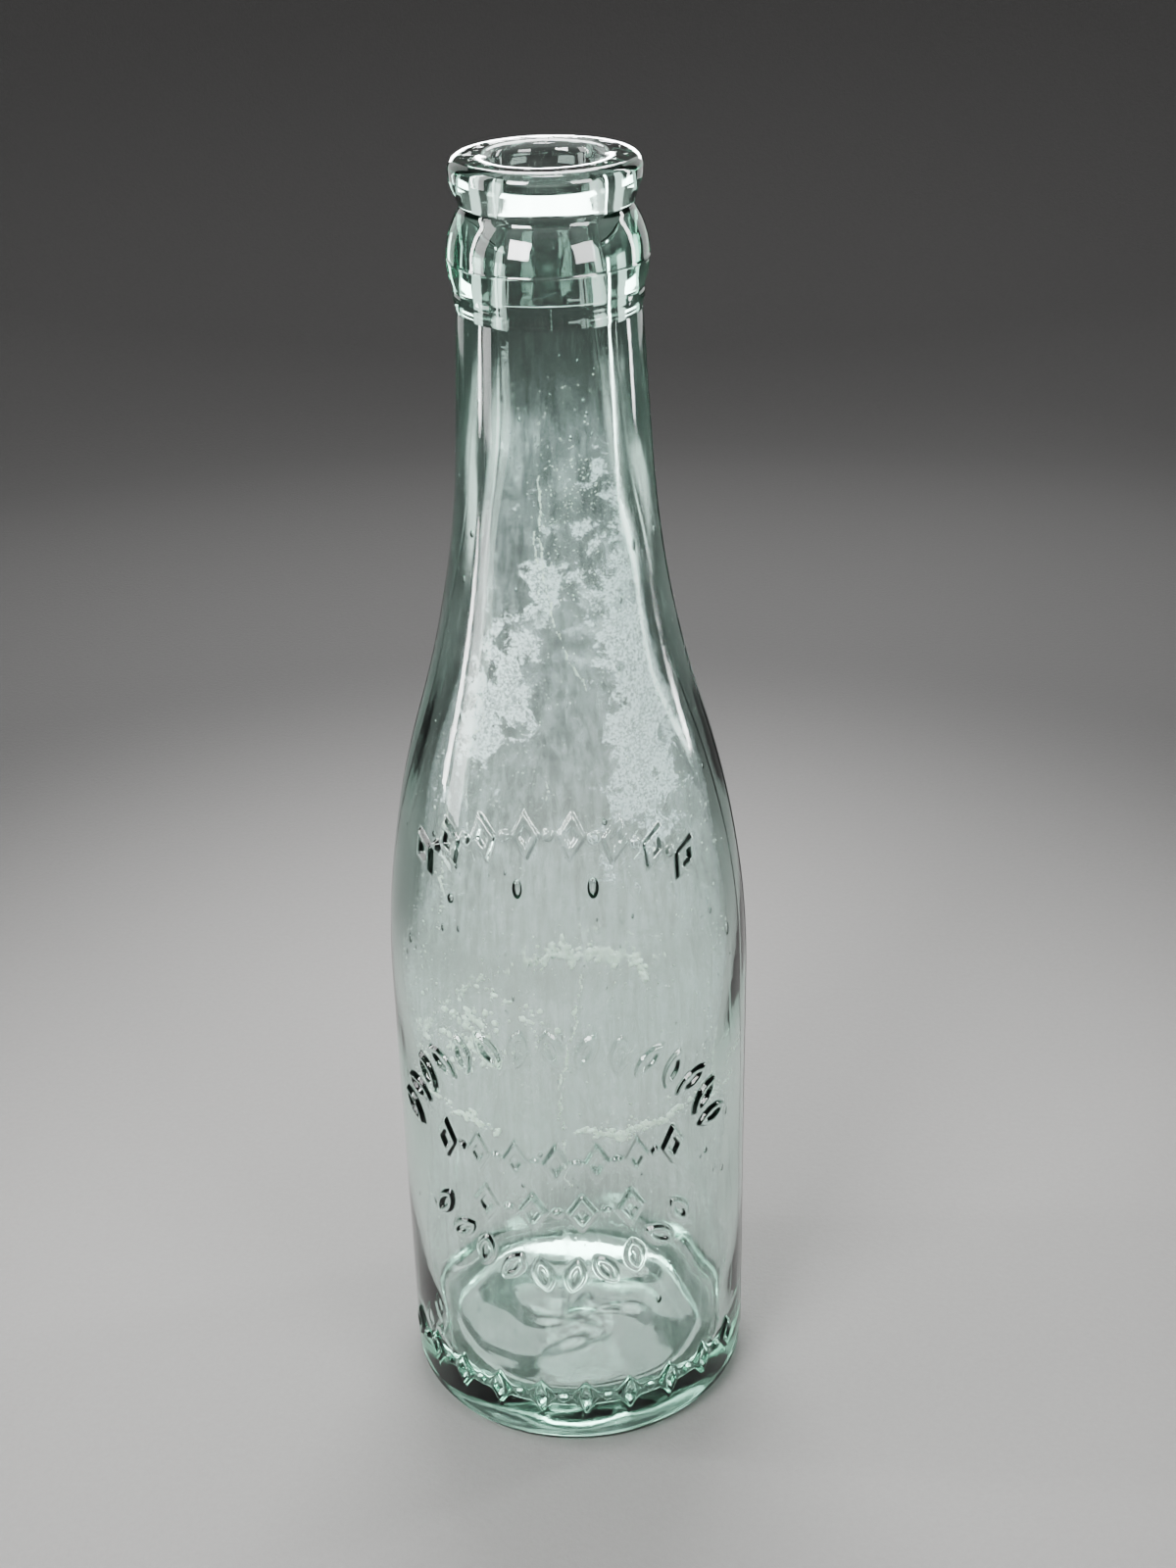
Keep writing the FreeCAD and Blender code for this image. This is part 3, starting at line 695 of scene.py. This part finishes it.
# Patches of thick haze: angle, height, half-angle, half-height, strength.
THICK_PATCHES = (
    (60, 150, 22, 13, 1.0), (48, 136, 17, 12, 0.95), (38, 120, 15, 13, 0.75), (64, 128, 16, 14, 0.55),
    (-22, 141, 16, 9, 0.50), (-34, 131, 14, 9, 0.75), (-14, 131, 14, 10, 0.35), (2, 152, 14, 4, 0.60),
    (24, 158, 12, 5, 0.55), (-48, 118, 16, 12, 0.30), (15, 112, 14, 8, 0.30),
    (-16, 165, 15, 6, 0.42), (6, 177, 9, 5, 0.36), (-34, 173, 10, 5, 0.30), (42, 167, 16, 5, 0.50),
    (-8, 150, 12, 6, 0.50), (20, 146, 14, 7, 0.45),
    (168, 132, 24, 16, 0.40), (205, 120, 18, 14, 0.35), (130, 140, 20, 16, 0.45),
)
# Patches of thin veil, over a faint veil everywhere.
THIN_PATCHES = (
    (0, 172, 80, 13, 0.16),
    (20, 130, 60, 30, 0.22), (-20, 175, 20, 6, 0.30), (30, 84, 40, 14, 0.16), (160, 90, 60, 40, 0.14),
    (-60, 60, 30, 25, 0.10), (-40, 100, 20, 30, 0.14), (62, 100, 14, 26, 0.16),
)
EVEN_VEIL = 0.13
WASHED_PATCHES = ((14, 143, 7, 6, 1.0), (8, 124, 9, 14, 0.8), (-4, 110, 10, 8, 0.6))


def deposit_at(angle_deg, height):
    """Thick and thin deposit at places on the inner wall, each from 0 to 1."""
    thick = sum(s * patch(angle_deg, height, *where) for *where, s in THICK_PATCHES)
    washed = sum(s * patch(angle_deg, height, *where) for *where, s in WASHED_PATCHES)
    thick = thick * np.clip(1 - washed, 0, 1)
    thin = EVEN_VEIL + sum(s * patch(angle_deg, height, *where) for *where, s in THIN_PATCHES)
    return np.clip(thick, 0, 1), np.clip(thin, 0, 1)


def film_shell(name, low, high, material):
    """A thin closed skin on the inner wall between two heights, with the deposit stored at its points."""
    angles = np.arange(-180, 180, FILM_ANGLE_STEP)
    heights = np.linspace(low, high, int((high - low) / FILM_HEIGHT_STEP))
    layers = []
    for depth in (FILM_GAP, FILM_GAP + FILM_THICKNESS):
        a, h = np.meshgrid(angles, heights)
        r = wall_inside(a, h) - depth
        turn = np.radians(a)
        layers.append(np.stack([r * np.sin(turn), -r * np.cos(turn), h], axis=2).reshape(-1, 3))
    across, up = len(angles), len(heights)
    layer = across * up
    faces = []
    for i in range(up - 1):
        for j in range(across):
            a, b = i * across + j, i * across + (j + 1) % across
            faces.append((a, b, b + across, a + across))
            faces.append((layer + a, layer + a + across, layer + b + across, layer + b))
    for i in (0, up - 1):
        for j in range(across):
            a, b = i * across + j, i * across + (j + 1) % across
            faces.append((a, a + layer, b + layer, b) if i == 0 else (a, b, b + layer, a + layer))
    piece = add_mesh(name, np.concatenate(layers), faces, material, "deposit")
    all_angles, all_heights = np.tile(angles, up), np.repeat(heights, across)
    thick, thin = deposit_at(all_angles, all_heights)
    edge = fade(all_heights, low, low + FILM_EDGE) * (1 - fade(all_heights, high - FILM_EDGE, high))
    stored = np.stack([thick * edge, thin * edge, edge, np.ones_like(edge)], axis=1)
    layer_data = piece.data.color_attributes.new("deposit", "FLOAT_COLOR", "POINT")
    layer_data.data.foreach_set("color", np.concatenate([stored, stored]).ravel())
    return piece


def grains():
    """Lumps and grains of mineral: the tide line, run marks, specks and a dried ring."""
    rng = np.random.default_rng(17)
    found = []

    def add(angle, height, size, drawn=1.0):
        found.append((angle, height, size, drawn))

    def strand(path, per_mm, spread, size, ragged=1.0):
        """Grains strewn along a path of (angle, height) points, with gaps and knots."""
        path = np.array(path, float)
        steps = np.hypot(np.diff(path[:, 0]) * MM_PER_DEGREE, np.diff(path[:, 1]))
        run = np.concatenate([[0], np.cumsum(steps)])
        phase = rng.uniform(0, 6, 4)
        level = abs(path[-1, 0] - path[0, 0]) * MM_PER_DEGREE > abs(path[-1, 1] - path[0, 1])
        for at in np.sort(rng.uniform(0, run[-1], int(run[-1] * per_mm))):
            knot = 0.5 + 0.5 * math.sin(at * 1.1 + phase[2]) * math.sin(at * 0.37 + phase[3])
            if rng.random() > 0.35 + 0.65 * knot:
                continue
            angle = np.interp(at, run, path[:, 0])
            height = np.interp(at, run, path[:, 1])
            wiggle = 0.35 * math.sin(at * 0.9 + phase[0]) + 0.2 * math.sin(at * 2.3 + phase[1])
            across = ragged * wiggle + rng.normal(0, spread)
            grown = size * rng.uniform(0.35, 1.1) * (0.6 + 0.6 * knot)
            if level:
                add(angle, height + across, grown, rng.uniform(0.6, 1.0))
            else:
                add(angle + across / MM_PER_DEGREE * 0.8, height, grown, rng.uniform(1.0, 1.7))

    tide = 0.5 * (tide_low[2] + tide_high[2]) / MM
    strand([(6, tide + 1.2), (20, tide - 0.4), (34, tide - 0.2), (50, tide + 1.0)], 8, 0.28, 0.62)
    strand([(10, tide + 0.2), (26, tide - 1.2), (44, tide + 0.2)], 5, 0.3, 0.40)
    strand([(54, tide + 0.2), (60, tide + 1.6), (66, tide + 0.6), (72, tide + 3.4), (84, tide + 4.4)],
           8, 0.30, 0.52)
    strand([(60, tide - 1.6), (68, tide - 0.6), (76, tide - 0.8)], 7, 0.25, 0.46)
    strand([(150, tide - 1), (162, tide + 0.8), (176, tide + 0.2), (190, tide + 1.0), (204, tide)],
           11, 0.65, 0.75, 1.6)
    strand([(-62, tide + 4), (-50, tide + 1.6), (-40, tide + 0.6), (-28, tide), (-20, tide - 0.8)],
           8, 0.45, 0.55)
    strand([(-150, tide), (-110, tide + 0.8), (-92, tide - 0.5)], 5, 0.4, 0.4)
    strand([(-6, 166), (-5, 155), (-1, 149), (3, 145), (8, 141), (14, 138), (20, 134.5)], 11, 0.10, 0.19)
    strand([(-10, 158), (-7, 153), (-5, 148)], 8, 0.10, 0.15)
    strand([(10, 93), (7, 84), (3, 76), (1, 70), (3, 65)], 10, 0.10, 0.20)
    strand([(3, 63), (2, 58), (4, 54)], 8, 0.10, 0.16)
    strand([(-2, 123), (0, 119)], 8, 0.08, 0.13)
    strand([(-46, 118), (-45, 110), (-43, 102), (-44, 96)], 5, 0.25, 0.20)
    ring = [(-38 + 4.6 * math.cos(t), 130 + 2.8 * math.sin(t)) for t in np.linspace(0, 6.28, 9)]
    strand(ring, 11, 0.08, 0.17, 0.2)
    # Angle, height, spread of angle, spread of height, count, size, how far drawn out upwards.
    clusters = (
        (-28, 82, 5, 1.8, 46, 0.55, 1.2), (-8, 84, 4, 1.5, 22, 0.50, 1.0), (-36, 77, 4, 2.2, 34, 0.50, 1.6),
        (-23, 77, 4, 1.6, 22, 0.45, 1.8), (-20, 88, 3, 0.8, 12, 0.5, 0.7), (-52, 74, 4, 4, 26, 0.42, 1.6),
        (8, 161, 10, 6, 110, 0.13, 1.6), (26, 165, 8, 3, 70, 0.15, 1.3), (14, 155, 12, 6, 130, 0.10, 1.0),
        (58, 150, 16, 12, 260, 0.17, 1.0), (44, 128, 14, 14, 260, 0.15, 1.0),
        (-32, 132, 14, 9, 160, 0.15, 1.0), (36, 64, 14, 2.4, 70, 0.26, 1.0),
        (172, 66, 18, 2.5, 60, 0.34, 1.0), (-60, 95, 14, 16, 130, 0.20, 1.8),
        (66, 100, 12, 18, 150, 0.20, 1.8), (-4, 78, 10, 4, 60, 0.14, 1.0),
        (24, 88, 14, 8, 60, 0.16, 1.2), (-12, 128, 10, 12, 90, 0.14, 1.2),
    )
    for centre_angle, centre_height, spread_angle, spread_height, count, size, drawn in clusters:
        for _ in range(count):
            add(rng.normal(centre_angle, spread_angle), rng.normal(centre_height, spread_height),
                size * (0.3 + 0.8 * rng.random() ** 1.8), drawn * rng.uniform(0.8, 1.2))
    for _ in range(SCATTERED_SPECKS):
        add(rng.uniform(-180, 180), rng.uniform(20, 176), 0.045 + 0.13 * rng.random() ** 3)

    small, large = unit_ball(0), unit_ball(1)
    points, faces, first = [], [], 0
    for angle, height, size, drawn in found:
        ball, ball_faces = large if size > LARGE_GRAIN else small
        lump = ball * rng.uniform(0.6, 1.3, (len(ball), 1)) * size * np.array([0.42, 1.0, drawn])
        tilt = rng.normal(0, 0.5)
        lump[:, 1], lump[:, 2] = (lump[:, 1] * math.cos(tilt) - lump[:, 2] * math.sin(tilt),
                                  lump[:, 1] * math.sin(tilt) + lump[:, 2] * math.cos(tilt))
        radius = float(wall_inside(np.array(angle), np.array(height))) - FILM_GAP - 0.30 * size
        points.append(at_wall(angle, radius, height) + lump @ wall_axes(angle))
        faces += [(a + first, b + first, c + first) for a, b, c in ball_faces]
        first += len(ball)
    return np.concatenate(points), faces


# ---------------------------------------------------------------- build the bottle
wall_points, wall_faces = glass_wall()
seed_points, seed_faces = seeds()
offset = len(wall_points)
wall_faces += [tuple(k + offset for k in face) for face in seed_faces]
glass = add_mesh("glass_wall", np.concatenate([wall_points, seed_points]), wall_faces,
                 glass_material(), "glass")
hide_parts("glass_bottle")

haze = film_material()
upper_film = film_shell("neck_haze_film", haze_low[2] / MM, haze_high[2] / MM, haze)
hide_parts("neck_haze")
film_shell("body_film", BODY_FILM_BOTTOM, haze_low[2] / MM - 0.2, haze)
crust = add_mesh("tide_line_crust", *grains(), crust_material(), "deposit")
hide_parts("tide_line")

# ---------------------------------------------------------------- stage, lamps and camera
CAMERA_TURN = 6.0
CAMERA_DISTANCE = 292.6
CAMERA_HEIGHT = 267.8
CAMERA_PITCH = 28.12
CAMERA_YAW = 0.74
CAMERA_ROLL = -1.36
FOCAL_LENGTH = 48.9
SENSOR = 36.0
PAPER_FLAT, PAPER_BEND, PAPER_TOP, PAPER_GAP = 480.0, 150.0, 700.0, 0.02
ROOM_LIGHT = 0.5
EXPOSURE = -0.5
# Name, angle from the camera's side, distance, height, width, tall, watts, height it is aimed at.
LAMPS = (
    ("left_softbox", -82, 430, 275, 110, 500, 1.7, 110),
    ("left_strip", -94, 420, 275, 34, 490, 2.6, 110),
    ("right_softbox", 110, 430, 270, 44, 480, 2.2, 110),
    ("left_kicker", -142, 430, 260, 220, 440, 0.5, 110),
    ("right_kicker", 146, 430, 260, 220, 440, 0.5, 110),
    ("rear_softbox", 178, 430, 640, 360, 400, 11.0, 60),
    ("rear_strip", 178, 430, 250, 380, 80, 4.0, 30),
    ("key_softbox", -34, 540, 400, 240, 240, 13.0, 100),
    ("fill_softbox", 42, 540, 340, 240, 240, 5.0, 100),
    ("top_softbox", 20, 40, 720, 160, 160, 2.5, 100),
)


def around(angle_deg, distance, height):
    """A place round the bottle, in metres."""
    return Vector(at_wall(angle_deg, distance, height)) * MM


def softbox(name, from_camera, distance, height, width, tall, watts, aim_height):
    """A rectangular lamp that faces the bottle, at an angle from the camera's side of it."""
    lamp = bpy.data.lights.new(name, "AREA")
    lamp.shape = "RECTANGLE"
    lamp.size = width * MM
    lamp.size_y = tall * MM
    lamp.energy = watts
    holder = bpy.data.objects.new(name, lamp)
    holder.location = around(CAMERA_TURN + from_camera, distance, height)
    aim = Vector((0, 0, aim_height * MM)) - holder.location
    holder.rotation_euler = aim.to_track_quat("-Z", "Y").to_euler()
    holder.visible_camera = False
    bpy.context.scene.collection.objects.link(holder)


def paper_sweep():
    """A round pale paper floor with painted shade that darkens it away from the bottle, and a wall all
    round where that painted shade lifts, so the wall is painted lighter as it rises.
    """
    m = Shading("paper")
    away = m.add("ShaderNodeVectorMath", {0: m.place}, operation="LENGTH").outputs["Value"]
    tooth = m.noise(900, 4, 0.7)
    # The paper's own colour is pale; the near-black colour is painted shade, standing in for light falling
    # off away from the bottle.
    pale = m.blend_colours(tooth, (0.098, 0.096, 0.094, 1), (0.118, 0.116, 0.114, 1))
    painted_shade = m.blend_colours(tooth, (0.010, 0.0097, 0.0095, 1), (0.015, 0.0146, 0.0143, 1))
    up = m.add("ShaderNodeSeparateXYZ", {"Vector": m.place}).outputs[2]
    # Painted shade: the floor darkens from 80 mm to 300 mm out from the middle.
    colour = m.blend_colours(m.between(away, 0.08, 0.30), pale, painted_shade)
    # Painted light up the wall: the painted shade lifts back to the pale paper between 100 mm and 650 mm
    # high.
    colour = m.blend_colours(m.between(up, 0.10, 0.65), colour, pale)
    surface = m.add("ShaderNodeBsdfPrincipled", {
        "Base Color": colour, "Roughness": 0.9, "Normal": m.bump(tooth, 0.4, 0.3)})
    m.finish(surface)
    outline = [(40.0 * k, 0.0) for k in range(1, 13)]
    outline += [(PAPER_FLAT + PAPER_BEND * math.sin(t), PAPER_BEND - PAPER_BEND * math.cos(t))
                for t in np.linspace(0.05, math.pi / 2, 16)]
    outline.append((PAPER_FLAT + PAPER_BEND, PAPER_TOP))
    around_angles = np.radians(np.arange(0, 360, 5))
    points = [(0, 0, -PAPER_GAP)] + [(r * math.cos(a), r * math.sin(a), z - PAPER_GAP)
                                     for r, z in outline for a in around_angles]
    n = len(around_angles)
    faces = [(0, 1 + k, 1 + (k + 1) % n) for k in range(n)]
    for ring in range(len(outline) - 1):
        first = 1 + ring * n
        faces += [(first + k, first + n + k, first + n + (k + 1) % n, first + (k + 1) % n)
                  for k in range(n)]
    mesh = bpy.data.meshes.new("paper_sweep")
    mesh.from_pydata((np.array(points) * MM).tolist(), [], faces)
    mesh.materials.append(m.material)
    mesh.polygons.foreach_set("use_smooth", [True] * len(mesh.polygons))
    sweep = bpy.data.objects.new("paper_sweep", mesh)
    bpy.context.scene.collection.objects.link(sweep)


def camera():
    """The photograph's viewpoint: close, from above the shoulder, with a slight roll."""
    pitch, yaw, roll = (math.radians(a) for a in (CAMERA_PITCH, CAMERA_YAW, CAMERA_ROLL))
    forward = Vector((math.sin(yaw) * math.cos(pitch), math.cos(yaw) * math.cos(pitch), -math.sin(pitch)))
    right = forward.cross(Vector((0, 0, 1))).normalized()
    up = right.cross(forward)
    rolled_right = math.cos(roll) * right + math.sin(roll) * up
    rolled_up = -math.sin(roll) * right + math.cos(roll) * up
    turn = Matrix.Rotation(math.radians(CAMERA_TURN), 3, "Z")
    axes = Matrix((turn @ rolled_right, turn @ rolled_up, turn @ -forward)).transposed()
    data = bpy.data.cameras.new("camera")
    data.lens = FOCAL_LENGTH
    data.sensor_width = SENSOR
    holder = bpy.data.objects.new("camera", data)
    stand = around(CAMERA_TURN, CAMERA_DISTANCE, CAMERA_HEIGHT)
    holder.matrix_world = Matrix.Translation(stand) @ axes.to_4x4()
    bpy.context.scene.collection.objects.link(holder)
    bpy.context.scene.camera = holder


def surroundings():
    """Dim, even room light."""
    world = bpy.data.worlds.new("room")
    world.use_nodes = True
    world.node_tree.nodes["Background"].inputs["Color"].default_value = (0.95, 0.98, 1.0, 1)
    world.node_tree.nodes["Background"].inputs["Strength"].default_value = ROOM_LIGHT
    bpy.context.scene.world = world


paper_sweep()
for lamp_settings in LAMPS:
    softbox(*lamp_settings)
bpy.context.scene.view_settings.look = "AgX - Medium High Contrast"
bpy.context.scene.view_settings.exposure = EXPOSURE
surroundings()
camera()
